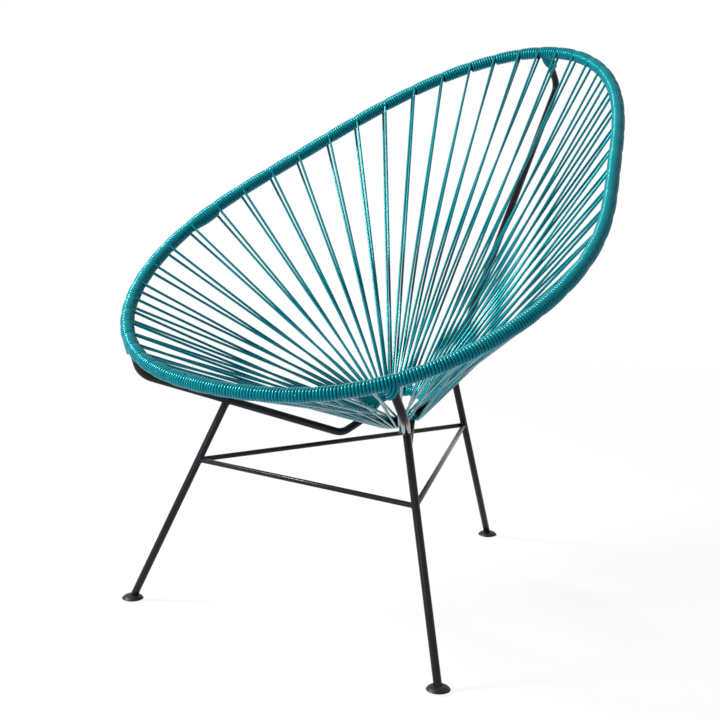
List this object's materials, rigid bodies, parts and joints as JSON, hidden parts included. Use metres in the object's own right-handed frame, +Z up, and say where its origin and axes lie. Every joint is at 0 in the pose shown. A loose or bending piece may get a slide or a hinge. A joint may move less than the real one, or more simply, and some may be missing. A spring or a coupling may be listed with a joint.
{
  "type": "acapulco chair",
  "caption": "Low outdoor chair: an egg-shaped steel hoop wound with cord and strung as a web to a small ring, on bent bars and splayed legs.",
  "frame": {"origin": "middle of the chair's outer box, on the floor under the three glides", "axes": "+Z up, the sitter faces -Y, so the back of the chair is at +Y, and +X is the sitter's left"},
  "size_m": [0.7438, 0.9778, 0.8986],
  "materials": {
    "black_steel": "satin black powder coat",
    "black_glide": "satin black powder coat",
    "teal_cord": "glossy extruded plastic cord, petrol turquoise"
  },
  "bodies": {
    "root": {"hoop_tube": "black_steel", "seat_ring_tube": "black_steel", "spine_bar": "black_steel", "rear_leg": "black_steel", "front_brace": "black_steel", "side_bar_left": "black_steel", "front_leg_left": "black_steel", "side_brace_left": "black_steel", "side_bar_right": "black_steel", "front_leg_right": "black_steel", "side_brace_right": "black_steel", "rear_glide": "black_glide", "front_glide_left": "black_glide", "front_glide_right": "black_glide", "root_wrap_back": "teal_cord", "root_wrap_left": "teal_cord", "cord_web_left_1": "teal_cord", "cord_web_left_2": "teal_cord", "cord_web_left_3": "teal_cord", "cord_web_left_4": "teal_cord", "cord_web_left_5": "teal_cord", "cord_web_left_6": "teal_cord", "cord_web_left_7": "teal_cord", "root_wrap_right": "teal_cord", "cord_web_right_1": "teal_cord", "cord_web_right_2": "teal_cord", "cord_web_right_3": "teal_cord", "cord_web_right_4": "teal_cord", "cord_web_right_5": "teal_cord", "cord_web_right_6": "teal_cord", "cord_web_right_7": "teal_cord"}
  },
  "joints": []
}
